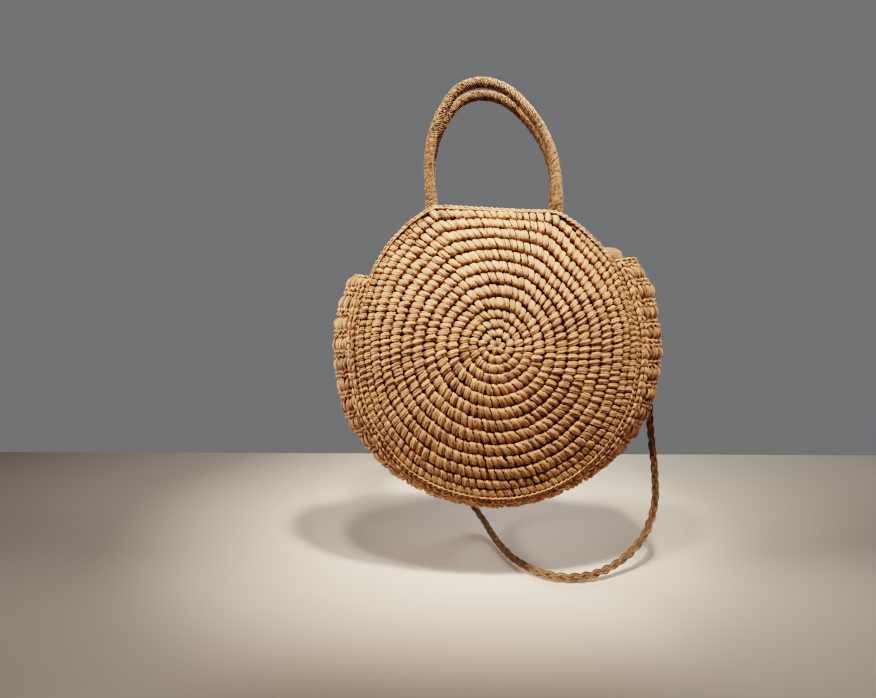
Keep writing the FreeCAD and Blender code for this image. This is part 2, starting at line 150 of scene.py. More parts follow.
def rim_line(spacing=0.0008):
    """The rim's middle line, anticlockwise from the bottom: arcs and a flat top, mirrored, evenly spaced."""
    spans = []
    for middle, radius, first, last in rim_arcs():
        way = np.linspace(first, last, 200)
        spans.append(middle + radius * np.stack([np.cos(way), np.sin(way)], -1))
    spans.append(np.array([[0.0, RIM_TOP_HEIGHT]]))
    right = np.concatenate(spans)
    left = right[::-1] * [-1.0, 1.0]
    outline = np.concatenate([right, left[1:]])
    run = run_of(outline)
    places = np.linspace(0.0, run[-1], int(run[-1] / spacing))
    return at_run(outline, run, places)


rim = rim_line()
rim_angle = np.unwrap(np.arctan2(rim[:, 1], rim[:, 0]))
rim_size = np.linalg.norm(rim, axis=1)
rim_mean = rim_size.mean()


def rim_reach(angle):
    """How far the rim's middle line is from a face's middle, in a way round the face."""
    return np.interp(angle, rim_angle, rim_size, period=2 * np.pi)


def on_face(u, v, w, side):
    """Right, up and out of a face turned to the bag's frame; side is -1 for the front and 1 for the back."""
    y = side * (half_depth - v * np.sin(lean) + w * np.cos(lean))
    z = middle_z + v * np.cos(lean) + w * np.sin(lean)
    return np.stack([u, y, z], -1)


def face_swell(u, v):
    """How far a face swells out of its rim's plane: a bowl that falls with the square of the distance."""
    return FACE_CROWN * (1.0 - (u * u + v * v) / RIM_DEPTH ** 2)


SIDE_SHIFT = 0.002
TOP_TILT = 0.036
RIM_WAVE = 0.0012


def slouch(points):
    """The body as it hangs: both sides pushed to the right, the top tilted to it, a slow uneven wave."""
    x, y, z = np.moveaxis(points, -1, 0)
    up = (z - middle_z) / RIM_TOP_HEIGHT
    shift = SIDE_SHIFT * (x / RIM_HALF_WIDTH) ** 2
    wave = RIM_WAVE * np.sin(31.0 * x + 2.0 * np.sin(23.0 * z)) * np.sin(27.0 * z + 1.3)
    sink = TOP_TILT * x * np.clip(up, 0.0, 1.2) ** 2
    return np.stack([x + shift + wave, y + wave * np.sign(y), z - sink + wave], -1)


def tube_faces(count, stations, sides):
    """Quads of many equal tubes, both ends closed; sides is even."""
    index = np.arange(count * stations * sides).reshape(count, stations, sides)
    after = np.roll(index, -1, axis=2)
    walls = np.stack([index[:, :-1], after[:, :-1], after[:, 1:], index[:, 1:]], -1).reshape(-1, 4)
    order = np.arange(1, sides // 2)
    low = np.stack([order - 1, order, sides - 1 - order, (sides - order) % sides], -1)
    ends = index[:, -1][:, low].reshape(-1, 4)
    starts = index[:, 0][:, low[:, ::-1]].reshape(-1, 4)
    return np.concatenate([walls, starts, ends])


class Strands:
    """Many short tubes gathered into one mesh, with a fibre place, a share of painted light and a tone at
    each point.
    """

    def __init__(self):
        self.points, self.faces, self.fibre, self.depth, self.tone = [], [], [], [], []
        self.total = 0

    def add(self, line, out, half_width, half_height, depth, tone, sides=6, painted_side_shade=(0.0, 0.0)):
        """Tubes about lines (tube, station, xyz): each ring is an ellipse spanned by the way across and out.

        The last argument gives the shares of the painted light that go at a ring's two sides: painted shade
        between neighbouring tubes.
        """
        along = unit(np.gradient(line, axis=1))
        across = unit(np.cross(out, along))
        above = np.cross(along, across)
        count, stations = line.shape[:2]
        half_width = np.broadcast_to(half_width, (count, stations))
        half_height = np.broadcast_to(half_height, (count, stations))
        turn = np.linspace(0.0, 2 * np.pi, sides, endpoint=False)
        side_reach = np.cos(turn) * half_width[..., None]
        rise = np.sin(turn) * half_height[..., None]
        ring = side_reach[..., None] * across[:, :, None] + rise[..., None] * above[:, :, None]
        points = line[:, :, None] + ring
        steps = np.linalg.norm(np.diff(line, axis=1), axis=2)
        run = np.concatenate([np.zeros((count, 1)), np.cumsum(steps, axis=1)], axis=1)
        shape = points.shape[:3]
        seed = np.arange(count) * 0.37 + self.total * 0.011
        fibre = np.stack([
            np.broadcast_to(run[..., None], shape), np.broadcast_to(side_reach, shape),
            np.broadcast_to(seed[:, None, None], shape)], -1)
        self.faces.append(tube_faces(count, stations, sides) + self.total)
        self.points.append(points.reshape(-1, 3))
        self.fibre.append(fibre.reshape(-1, 3))
        painted_side_light = 1.0 - painted_side_shade[0] * np.maximum(np.cos(turn), 0.0) - painted_side_shade[1] * np.maximum(-np.cos(turn), 0.0)
        depth = np.broadcast_to(depth, (count, stations))[..., None] * painted_side_light
        tone = np.asarray(tone).reshape(count, -1, 1)
        self.depth.append(np.broadcast_to(depth, shape).ravel())
        self.tone.append(np.broadcast_to(tone, shape).ravel())
        self.total += points.shape[0] * points.shape[1] * points.shape[2]

    def piece(self, name, material, bend=None):
        """The gathered tubes as one object, bent by a function of points if one is given."""
        points = np.concatenate(self.points)
        faces = np.concatenate(self.faces)
        if bend is not None:
            points = bend(points)
        return add_piece(name, points, faces, material, np.concatenate(self.fibre),
                         np.concatenate(self.depth), np.concatenate(self.tone))


def add_piece(name, points, faces, material, fibre=None, depth=None, tone=None):
    """A smooth mesh object at the origin, with the attributes that its material reads."""
    mesh = bpy.data.meshes.new(name)
    mesh.from_pydata(points.tolist(), [], faces.tolist())
    mesh.shade_smooth()
    mesh.materials.append(material)
    if fibre is not None:
        layer = mesh.attributes.new("fibre", "FLOAT_VECTOR", "POINT")
        layer.data.foreach_set("vector", np.ascontiguousarray(fibre, dtype=np.float32).ravel())
    # Besides the tone, each point carries a share of painted light: where it is low, the straw finish turns
    # to its dark gap colour, a painted shade.
    for title, values in (("depth", depth), ("tone", tone)):
        if values is not None:
            layer = mesh.attributes.new(title, "FLOAT", "POINT")
            layer.data.foreach_set("value", np.ascontiguousarray(values, dtype=np.float32))
    piece = bpy.data.objects.new(name, mesh)
    bpy.context.scene.collection.objects.link(piece)
    return piece


def grid_faces(rows, columns, wrapped=False):
    """Quads of a grid of points, row by row; wrapped joins each row's last point to its first."""
    index = np.arange(rows * columns).reshape(rows, columns)
    if wrapped:
        index = np.concatenate([index, index[:, :1]], axis=1)
    corners = (index[:-1, :-1], index[:-1, 1:], index[1:, 1:], index[1:, :-1])
    return np.stack(corners, -1).reshape(-1, 4)


class Wire:
    """One socket of a material's nodes; arithmetic on it adds Math nodes."""

    def __init__(self, nodes, socket):
        self.nodes = nodes
        self.socket = socket

    def math(self, operation, *values):
        """A Math node's result for some values or wires."""
        return self.nodes.node("ShaderNodeMath", {"operation": operation}, dict(enumerate(values)))

    def __add__(self, other):
        return self.math("ADD", self, other)

    def __radd__(self, other):
        return self.math("ADD", other, self)

    def __sub__(self, other):
        return self.math("SUBTRACT", self, other)

    def __rsub__(self, other):
        return self.math("SUBTRACT", other, self)

    def __mul__(self, other):
        return self.math("MULTIPLY", self, other)

    def __rmul__(self, other):
        return self.math("MULTIPLY", other, self)


class Finish:
    """A material's node tree, built through one method."""

    def __init__(self, name):
        self.material = bpy.data.materials.new(name)
        self.material.use_nodes = True
        self.tree = self.material.node_tree
        self.tree.nodes.clear()

    def node(self, kind, settings=None, inputs=None, output=0):
        """A node of a kind with its settings made first, then values or wires put on its sockets."""
        made = self.tree.nodes.new(kind)
        for key, value in (settings or {}).items():
            if key == "stops":
                ramp = made.color_ramp
                while len(ramp.elements) < len(value):
                    ramp.elements.new(0.5)
                for element, (place, colour) in zip(ramp.elements, value):
                    element.position = place
                    element.color = (*colour, 1.0)
            else:
                setattr(made, key, value)
        for key, value in (inputs or {}).items():
            if isinstance(value, Wire):
                self.tree.links.new(value.socket, made.inputs[key])
            else:
                made.inputs[key].default_value = value
        return Wire(self, made.outputs[output]) if len(made.outputs) else None

    def attribute(self, title, output):
        """What a mesh attribute of that title holds."""
        return self.node("ShaderNodeAttribute", {"attribute_name": title}, {}, output)

    def scaled(self, vector, scale):
        """A vector times a scale, axis by axis."""
        return self.node("ShaderNodeVectorMath", {"operation": "MULTIPLY"}, {0: vector, 1: scale})

    def noise(self, vector, scale, detail=2.0, roughness=0.5):
        """Smooth noise at a place, between 0 and 1."""
        values = {"Vector": vector, "Scale": scale, "Detail": detail, "Roughness": roughness}
        return self.node("ShaderNodeTexNoise", None, values)

    def mix(self, factor, first, second):
        """A colour between two, the first where the factor is 0 and the second where it is 1."""
        settings = {"data_type": "RGBA", "clamp_factor": True}
        return self.node("ShaderNodeMix", settings, {0: factor, 6: first, 7: second}, 2)

    def finish(self, colour, roughness, height, bump, distance, constants=None):
        """A Principled surface with its colour, roughness and bump wired, and the rest as plain numbers."""
        values = {"Base Color": colour, "Roughness": roughness}
        if height is not None:
            values["Normal"] = self.node(
                "ShaderNodeBump", None, {"Strength": bump, "Distance": distance, "Height": height})
        values.update(constants or {})
        shader = self.node("ShaderNodeBsdfPrincipled", None, values)
        self.node("ShaderNodeOutputMaterial", None, {"Surface": shader})
        return self.material


def tint(colour):
    """A colour with full alpha."""
    return (*colour, 1.0)


def straw(name, pale, mid, dark, gap, painted_shade_reach=0.5, streak=0.55):
    """Paper straw: streaks along each strand, strands of differing tone, painted shade in the gaps between
    them.
    """
    made = Finish(name)
    fibre = made.attribute("fibre", "Vector")
    depth = made.attribute("depth", "Fac")
    tone = made.attribute("tone", "Fac")
    place = made.node("ShaderNodeTexCoord", None, None, "Object")
    fine = made.noise(made.scaled(fibre, (90.0, 2600.0, 9.0)), 1.0, 3.0, 0.62)
    coarse = made.noise(made.scaled(fibre, (45.0, 700.0, 5.0)), 1.0, 2.0)
    patch = made.noise(place, 14.0, 3.0)
    fleck = made.noise(place, 240.0, 2.0)
    shade = tone * 0.55 + (coarse - 0.5) * streak + fine * 0.35 + patch * 0.35 - 0.145
    stops = ((0.05, dark), (0.45, mid), (0.95, pale))
    body = made.node("ShaderNodeValToRGB", {"stops": stops}, {"Fac": shade})
    worn = made.mix((fleck * 3.0 - 1.9) * 0.6, body, tint(pale))
    # Painted shade: the colour goes over to the dark gap colour where the per-point painted light is low.
    lit = made.node("ShaderNodeMapRange", {"interpolation_type": "SMOOTHSTEP"},
                    {"Value": depth, "From Min": 0.0, "From Max": painted_shade_reach})
    colour = made.mix(lit, tint(gap), worn)
    roughness = 0.80 - lit * 0.36 + fine * 0.24
    return made.finish(colour, roughness, fine * 0.6 + coarse * 0.6, 0.5, 0.0005,
                       {"Specular IOR Level": 0.28})


def cotton(name, colour, shadow):
    """Plain woven cotton: two crossed sets of fine waves, a slow change of tone."""
    made = Finish(name)
    place = made.node("ShaderNodeTexCoord", None, None, "Object")
    warp = made.node("ShaderNodeTexWave", {"bands_direction": "X"},
                     {"Vector": place, "Scale": 520.0, "Distortion": 0.6, "Detail": 1.0})
    weft = made.node("ShaderNodeTexWave", {"bands_direction": "Z"},
                     {"Vector": place, "Scale": 520.0, "Distortion": 0.6, "Detail": 1.0})
    warp = made.node("ShaderNodeSeparateColor", None, {"Color": warp})
    weft = made.node("ShaderNodeSeparateColor", None, {"Color": weft})
    patch = made.noise(place, 22.0, 3.0)
    weave = warp * 0.5 + weft * 0.5
    tone = made.mix(patch * 0.7 + weave * 0.3, tint(shadow), tint(colour))
    return made.finish(tone, 0.78 + weave * 0.1, weave, 0.35, 0.0003, {"Sheen Weight": 0.25})


def metal(name, colour):
    """Satin plated metal: fine scratches in its gloss and a slow change of tone."""
    made = Finish(name)
    place = made.node("ShaderNodeTexCoord", None, None, "Object")
    fine = made.noise(made.scaled(place, (1.0, 1.0, 6.0)), 900.0, 2.0)
    patch = made.noise(place, 120.0, 2.0)
    tone = made.mix(patch, tint(colour), tint([0.82 * part for part in colour]))
    return made.finish(tone, 0.26 + fine * 0.16, fine, 0.12, 0.0001, {"Metallic": 1.0})


def floor_finish(name):
    """Pale matt board with a very faint cloudiness."""
    made = Finish(name)
    place = made.node("ShaderNodeTexCoord", None, None, "Object")
    cloud = made.noise(place, 3.0, 3.0)
    tone = made.mix(cloud, tint((0.92, 0.79, 0.665)), tint((0.94, 0.82, 0.70)))
    return made.finish(tone, 0.62 + cloud * 0.08, None, 0.0, 0.0)


# The fourth colour of each straw is the painted shade in its gaps and hollows; the numbers after it are how
# far that painted shade reaches and how strong the streaks are.
CROCHET = straw("crochet_straw", (0.675, 0.378, 0.203), (0.475, 0.268, 0.151), (0.22, 0.121, 0.070),
                (0.048, 0.029, 0.019), 0.5, 1.3)
RIM_STRAW = straw("rim_straw", (0.75, 0.430, 0.235), (0.53, 0.300, 0.168), (0.245, 0.132, 0.074),
                  (0.028, 0.017, 0.011))
HANDLE_STRAW = straw("handle_straw", (0.86, 0.555, 0.365), (0.55, 0.330, 0.195), (0.14, 0.076, 0.041),
                     (0.020, 0.012, 0.007), 0.7, 1.1)
PLAIT_STRAW = straw("plaited_straw", (0.52, 0.340, 0.212), (0.36, 0.220, 0.130), (0.16, 0.092, 0.050),
                    (0.014, 0.008, 0.005))
ROPE = straw("rope_core", (0.80, 0.74, 0.62), (0.70, 0.63, 0.51), (0.52, 0.45, 0.35), (0.12, 0.10, 0.07))
LINING = cotton("cotton_lining", (0.36, 0.186, 0.104), (0.30, 0.154, 0.086))
SNAP = metal("snap_metal", (0.72, 0.58, 0.36))
FLOOR = floor_finish("floor_board")


# Crocheted faces
ROUND_WIDTHS = (9.8, 9.6, 10.2, 10.6, 12.6, 13.0, 13.0, 13.2, 13.2, 13.2, 13.0, 12.5, 9.6, 7.6)
ROUND_EDGES = np.concatenate([[0.0], np.cumsum(ROUND_WIDTHS)]) / np.sum(ROUND_WIDTHS)
CENTRE_HOLE = 0.0012
STITCH_PITCH = 0.0081
ROUND_RISE = 0.0066
GROOVE_DEPTH = 0.0042
STRAND_SPREAD = 0.310
STRAND_HALF_WIDTH = 0.205
STRAND_HALF_HEIGHT = 0.0010
STITCH_DIP = 0.11
STITCH_SHADE = 0.62
STITCH_REACH = 0.99
STITCH_OVERLAP = 0.05
STITCH_PINCH = 0.35
TAIL_NARROWING = 0.28
TAIL_REACH = 0.12
CAP_ROUNDING = 0.20
LEAST_LEAF = 0.12
RELAXING_ROUNDS = 14
STITCH_PLACES = np.array([-1.0, -0.93, -0.72, -0.42, -0.08, 0.28, 0.60, 0.86, 1.0])
STITCH_HEIGHTS = np.array([-0.05, 0.55, 0.93, 1.0, 0.96, 0.87, 0.70, 0.42, -0.05])
SLANT_TOP = 22.0
SLANT_SIDE = 12.0
INNER_ROUNDS = 9
TOP_RUN_OUT = 0.047
RIM_LIFT = 0.45
FACE_EDGE = CHAIN_RADIUS - 0.0022
NARROWEST_ROUND = 0.0009
PITCH_LIMITS = (0.005, 0.0125)
BACKING_RINGS = 40
BACKING_POINTS = 160
BACKING_DEPTHS = (GROOVE_DEPTH + 0.0003, GROOVE_DEPTH + 0.0013)
BACKING_TONE = 0.3
face_reach = rim_mean - FACE_EDGE


def round_edge(share, angle):
    """Radius of a round's edge: a circle near the middle that takes on the rim's outline further out.

    Across the flat top the rounds are spread a little, so that the outermost one runs out at its corners.
    """
    top = smooth((np.sin(angle) - 0.75) / 0.17)
    share = np.minimum(share / (1.0 - TOP_RUN_OUT * top), 1.0)
    circle = CENTRE_HOLE + share * (face_reach - CENTRE_HOLE)
    fit = (rim_reach(angle) - FACE_EDGE) / face_reach - 1.0
    return circle * (1.0 + fit * share ** 4)


def stitch_angles(rng):
    """Angles of the stitches round by round: each sits between two of the round before.

    Where a round needs more stitches, some are put in at evenly spread places. Every stitch is then moved
    towards the middle of its two neighbours, some times over, and the whole round is turned a little.
    """
    rounds = []
    for number in range(len(ROUND_WIDTHS)):
        radius = face_reach * (ROUND_EDGES[number] + ROUND_EDGES[number + 1]) / 2
        count = max(6, int(round(2 * np.pi * radius / STITCH_PITCH)))
        if number == 0:
            angle = (np.arange(count) + 0.4) * 2 * np.pi / count
        else:
            before = rounds[-1]
            after = np.append(before[1:], before[0] + 2 * np.pi)
            more = max(0, count - len(before))
            chosen = np.linspace(0, len(before), more, endpoint=False) + rng.random() * len(before)
            chosen = np.floor(chosen + rng.normal(0.0, 0.8, more)).astype(int) % len(before)
            added = before[chosen] + rng.normal(0.0, 0.002, more)
            angle = np.sort(np.concatenate([(before + after) / 2, added]))
        for _ in range(RELAXING_ROUNDS):
            low = np.append(angle[-1] - 2 * np.pi, angle[:-1])
            high = np.append(angle[1:], angle[0] + 2 * np.pi)
            angle = 0.5 * angle + 0.25 * (low + high)
        turn = rng.uniform(-0.3, 0.3) * 2 * np.pi / len(angle)
        rounds.append(angle + turn)
    return rounds


def crochet_face(name, side, seed, first, last):
    """Rounds of stitches on a face: each stitch is three flat strands that arch over its round.

    From the round's inner edge a strand rises steeply to a crest and falls slowly to the outer edge,
    through given places and heights. The strands of a stitch lie side by side, draw together below the
    crest, which leaves small gaps between stitches, open again to a round cap at the inner edge, narrow
    to a tail that goes under the next round, most of all at the sides, and lean by a slant that changes
    round the face.
    """
    rng = np.random.default_rng(seed)
    rounds = stitch_angles(rng)
    spans = []
    for angles in rounds:
        low = np.append(angles[-1] - 2 * np.pi, angles[:-1])
        high = np.append(angles[1:], angles[0] + 2 * np.pi)
        spans.append((high - low) / 2)
    number = np.concatenate([np.full(len(angles), place) for place, angles in enumerate(rounds)])
    chosen = (number >= first) & (number < last)
    angle = np.concatenate(rounds)[chosen]
    span = np.concatenate(spans)[chosen]
    number = number[chosen]
    inner = round_edge(ROUND_EDGES[number], angle)
    outer = round_edge(ROUND_EDGES[number + 1], angle)
    wide = outer - inner > NARROWEST_ROUND
    angle, span, number, inner, outer = [values[wide] for values in (angle, span, number, inner, outer)]
    total = len(angle)
    middle = (inner + outer) / 2
    half = (outer - inner) / 2
    pitch = np.clip(span * middle, *PITCH_LIMITS)
    slant = np.radians(SLANT_TOP * np.sin(angle) ** 2 + SLANT_SIDE * np.cos(angle) ** 2)
    slant = slant * np.clip(middle / 0.03, 0.3, 1.0)
    slant = slant + rng.normal(0.0, 0.055, total)
    plump = np.clip(rng.normal(1.0, 0.07, total), 0.85, 1.15)
    fullness = np.clip(half / 0.0062, 0.7, 1.1)
    stitch_tone = rng.random(total)
    over = STITCH_PLACES
    at_rim = outer > rim_reach(angle) - FACE_EDGE - 0.0005
    height = STITCH_HEIGHTS + at_rim[:, None] * RIM_LIFT * smooth((over + 0.2) / 1.2)
    pinch = np.exp(-((over + 0.46) / 0.20) ** 2)
    cap = smooth((-over - 0.3) / 0.7)
    leaf = (LEAST_LEAF + (1.0 - LEAST_LEAF) * np.cos(angle) ** 2)[:, None]
    tail = leaf * smooth((over - 0.1) / 0.9)
    slope = np.gradient(height, over, axis=1)
    lift = unit(np.stack([-slope * 1.2, np.ones(slope.shape)], -1))
    shift = rng.normal(0.0, 0.0004, total)
    gathered = Strands()
    for strand in (-1, 0, 1):
        jitter = rng.normal(0.0, 0.00014, total)
        fan = rng.normal(0.0, 0.025, total)
        offset = (strand + rng.normal(0.0, 0.05, total)) * STRAND_SPREAD * pitch
        reach = half * STITCH_REACH * rng.normal(1.0, 0.02, total)
        span_way = over * (1.0 - CAP_ROUNDING * strand ** 2 * cap * leaf) + TAIL_REACH * tail - STITCH_OVERLAP
        radius = (middle + shift)[:, None] + reach[:, None] * span_way
        part = 1.0 - STITCH_PINCH * pinch * (1.0 - 0.4 * leaf) - TAIL_NARROWING * tail
        side_way = (radius - middle[:, None]) * np.tan(slant + fan)[:, None]
        side_way = side_way + offset[:, None] * part + jitter[:, None]
        theta = angle[:, None] + side_way / np.maximum(radius, 0.003)
        u = radius * np.cos(theta)
        v = radius * np.sin(theta)
        puff = plump * (1.0 - STITCH_DIP * strand ** 2) + rng.normal(0.0, 0.045, total)
        rise = ROUND_RISE * fullness * puff
        w = face_swell(u, v) - GROOVE_DEPTH + rise[:, None] * height
        out_u = lift[..., 0] * np.cos(theta)
        out_v = lift[..., 0] * np.sin(theta)
        out_w = lift[..., 1]
        line = on_face(u, v, w, side)
        roll = strand * 0.32 + rng.normal(0.0, 0.22, total)[:, None]
        round_way = on_face(-np.sin(theta) * roll, np.cos(theta) * roll, 0.0 * theta, side)
        out = on_face(out_u, out_v, out_w, side) + round_way - 2.0 * on_face(0.0, 0.0, 0.0, side)
        taper = (0.82 + 0.18 * np.clip(height, 0.0, 1.0)) * (1.0 - 0.12 * pinch) * (1.0 - 0.25 * tail)
        width = STRAND_HALF_WIDTH * pitch[:, None] * taper * rng.normal(1.0, 0.07, (total, 1))
        width = width * (1.0 + 0.07 * leaf)
        # Painted shade: strands turn towards the gap colour low in the grooves and at their sides, and this
        # is painted weaker at the face's left and right than at its top and bottom, as under light from
        # above.
        depth = np.clip(1.3 * height - 0.05 + 0.22 * leaf, 0.0, 1.0)
        tone = 0.3 * stitch_tone + 0.7 * rng.random(total)
        painted_side_shade = (STITCH_SHADE + 0.06 * (strand * side < 0), STITCH_SHADE + 0.06 * (strand * side > 0))
        gathered.add(line, out, width, STRAND_HALF_HEIGHT * taper, depth, tone, 6, painted_side_shade)
    return gathered.piece(name, CROCHET, slouch)


def face_backing(name, side):
    """The straw behind a face's stitches: a closed sheet on rings about the middle that follow the rounds,
    painted all over in the dark gap colour as shade.
    """
    share = np.linspace(0.0, 1.0, BACKING_RINGS)[:, None]
    angle = np.linspace(0.0, 2 * np.pi, BACKING_POINTS, endpoint=False)[None, :]
    radius = (round_edge(share, angle) - CENTRE_HOLE * (1.0 - share)) * (1.0 + 0.012 * share ** 8)
    u = radius * np.cos(angle)
    v = radius * np.sin(angle)
    curl = (GROOVE_DEPTH - 0.0008) * smooth((share - 0.93) / 0.07)
    layers = []
    for sink in BACKING_DEPTHS:
        layers.append(on_face(u, v, face_swell(u, v) - sink + curl, side).reshape(-1, 3))
    return closed_sheet(name, layers, BACKING_RINGS, BACKING_POINTS, CROCHET, side > 0)


def closed_sheet(name, layers, rows, columns, material, flip):
    """Two layers of rings joined at the outer ring and closed at the middle."""
    size = rows * columns
    top = grid_faces(rows, columns, True)
    under = grid_faces(rows, columns, True)[:, ::-1] + size
    edge = np.arange(size - columns, size)
    after = np.roll(edge, -1)
    rim_band = np.stack([edge, after, after + size, edge + size], -1)
    faces = np.concatenate([top, under, rim_band])
    if flip:
        faces = faces[:, ::-1]
    points = slouch(np.concatenate(layers))
    count = len(points)
    # The straw sheet gets no painted light, so it shows only the gap colour: a dark painted shade behind the
    # stitches. The cloth finish does not read it.
    return add_piece(name, points, faces, material, np.zeros((count, 3)), np.zeros(count),
                     np.full(count, BACKING_TONE))


def closed_band(outer, inner):
    """Points and quads of a band of two layers, rows along it, joined at its long edges and its ends."""
    ring = np.concatenate([outer, inner[:, ::-1]], axis=1)
    rows, around = ring.shape[:2]
    order = np.arange(around // 2 - 1)
    caps = np.stack([order, order + 1, around - 2 - order, around - 1 - order], -1)
    faces = np.concatenate([grid_faces(rows, around, True), caps[:, ::-1], caps + (rows - 1) * around])
    return slouch(ring.reshape(-1, 3)), faces[:, ::-1]


# Chains of crochet along the rims
LINK_PITCH = 0.0062
LINK_SIZE = 0.0029
CORE_STEP = 0.004
CORE_SHARE = 0.62
LOOP_OUTWARD = 0.55
LOOP_AWAY = 0.85


def chain_links(gathered, path, face_way, pitch, size, rng, closed):
    """Two strands a link, side by side from the last link's loop.

    They part as a sine while they rise as a sine, and dive under the next link.
    """
    run = run_of(path)
    count = int(round(run[-1] / pitch))
    start = (np.arange(count) + 0.5) * run[-1] / count
    share = np.linspace(-0.25, 1.15, 7)
    places = start[:, None] + (share - 0.5) * run[-1] / count
    if closed:
        places = places % run[-1]
    middle = at_run(path, run, places)
    way = unit(at_run(face_way, run, places))
    tangent = np.gradient(path, axis=0)
    along = unit(at_run(tangent, run, places))
    across = np.cross(way, along)
    part = size * (0.20 + 0.42 * np.sin(np.pi * np.clip(share + 0.1, 0.0, 1.0) * 0.72))
    rise = size * (0.95 * np.sin(np.pi * (share + 0.25) / 1.4) - 0.25)
    # Painted shade: each strand is darker at its ends, where it dives under the next link.
    depth = np.clip(0.15 + np.sin(np.pi * (share + 0.25) / 1.4), 0.0, 1.0)
    for strand in (-1, 1):
        puff = rng.normal(1.0, 0.08, (count, 1, 1))
        line = middle + strand * part[:, None] * across * puff + rise[:, None] * way * puff
        gathered.add(line, way + 0.35 * strand * across, size * 0.42, size * 0.36, depth, rng.random(count))


def cord_core(gathered, path, face_way, radius):
    """A plain tube under a chain, which closes the gaps between its links, painted mostly in the dark gap
    colour as shade.
    """
    run = run_of(path)
    places = np.linspace(0.0, run[-1], int(run[-1] / CORE_STEP))
    line = at_run(path, run, places)[None]
    way = at_run(face_way, run, places)[None]
    gathered.add(line, way, radius, radius, 0.12, [BACKING_TONE])


def rim_chain(name, side, seed):
    """The chain along a face's rim, its loops turned outwards and away from the bag's middle."""
    rng = np.random.default_rng(seed)
    gathered = Strands()
    tangent = unit(np.gradient(rim, axis=0))
    outward = np.stack([tangent[:, 1], -tangent[:, 0]], -1) * LOOP_OUTWARD
    path = on_face(rim[:, 0], rim[:, 1], 0.0 * rim[:, 0], side)
    away = np.full(len(rim), LOOP_AWAY)
    way = on_face(outward[:, 0], outward[:, 1], away, side) - on_face(0.0, 0.0, 0.0, side)
    chain_links(gathered, path, way, LINK_PITCH, LINK_SIZE, rng, True)
    cord_core(gathered, path, way, LINK_SIZE * CORE_SHARE)
    return gathered.piece(name, RIM_STRAW, slouch)


# Gusset
GUSSET_RIBS = 32
CLAW_COUNT = 25
KNOT_COUNT = 25
CLAW_RISE = 0.0042
KNOT_RISE = 0.0036
GUSSET_RIB = 0.0012
GUSSET_MARGIN = 0.0036
GUSSET_EDGE = 0.92
GUSSET_ENDS = (np.radians(29.8), np.radians(22.6))
GUSSET_BACKING_DEPTHS = (0.0024, 0.0040)
GUSSET_BACKING_PAINTED_LIGHT = 0.27
END_LINK_PITCH = 0.0066
END_LINK_SIZE = 0.0034
END_CORE_RADIUS = 0.0016
END_POINTS = 200
EDGE_LINK_PITCH = 0.0086
EDGE_LINK_SIZE = 0.0045
EDGE_POINTS = 1200

# Rows of strands in a rib: strands across, place along the rib, length along it, length across, rise, half
# width, slope, how far pairs draw together, stations, and the bounds of a rib's nearness to the bottom
RIB_ROWS = (
    (KNOT_COUNT, 0.12, 0.07, 0.50, KNOT_RISE, 0.00180, 0.5, 0.0, 5, 0.0, 2.0),
    (KNOT_COUNT, 0.33, 0.08, 0.48, KNOT_RISE, 0.00185, 0.5, 0.0, 5, 0.0, 2.0),
    (CLAW_COUNT, 0.70, 0.32, 0.0, CLAW_RISE, 0.00195, 0.60, 0.45, 7, 0.0, 0.55),
    (KNOT_COUNT + 5, 0.56, 0.09, 0.45, KNOT_RISE, 0.00160, 0.6, 0.0, 5, 0.55, 2.0),
    (KNOT_COUNT + 5, 0.80, 0.09, 0.45, KNOT_RISE, 0.00160, 0.6, 0.0, 5, 0.55, 2.0),
)


def gusset_half(end_turn, ear_bow, rounding, end_bow, count=400):
    """The right half of a band's arcs, from its free end to the bottom.

    For each way out of the rim: the arc's centre, its outward way, radius and half turn. The bow keeps
    its size down the sides and then steps down to the bottom; above the middle it changes with the
    square of the height, the ears droop and are rounded off, and past the gusset's own end it goes over
    to the end bow.
    """
    base, side, shoulder = rim_arcs()[:3]
    turn = np.linspace(end_turn, -np.pi / 2, count)
    middle = np.where((turn > side[2])[:, None], side[0], base[0])
    size = np.where(turn > side[2], side[1], base[1])
    middle = np.where((turn > side[3])[:, None], shoulder[0], middle)
    size = np.where(turn > side[3], shoulder[1], size)
    edge = middle + size[:, None] * np.stack([np.cos(turn), np.sin(turn)], -1)
    lift = np.clip(edge[:, 1] / (side[1] * np.sin(GUSSET_END_TURN)), 0.0, 1.1)
    drop = np.maximum(-edge[:, 1], 0.0) / RIM_DEPTH
    bow = (GUSSET_SIDE_BOW + (ear_bow - GUSSET_SIDE_BOW) * lift ** 2
           + (GUSSET_BASE_BOW - GUSSET_SIDE_BOW) * smooth((drop - 0.35) / 0.65))
    bow = bow * (1.0 - rounding * smooth((lift - 0.78) / 0.26))
    past = smooth((turn - GUSSET_END_TURN) / np.radians(15.0))
    bow = bow * (1.0 - past) + end_bow * past
    way = turn * (1.0 - (1.0 - EAR_DROOP) * lift * (1.0 - past))
    rim_y = half_depth - edge[:, 1] * np.sin(lean)
    radius = (rim_y ** 2 + bow ** 2) / (2 * bow)
    outward = np.stack([np.cos(way), np.sin(way)], -1)
    rim_place = np.stack([edge[:, 0], middle_z + edge[:, 1] * np.cos(lean)], -1)
    centre = rim_place + outward * (bow - radius)[:, None]
    half_turn = np.arctan2(rim_y, radius - bow)
    return np.column_stack([centre, outward, radius, half_turn])


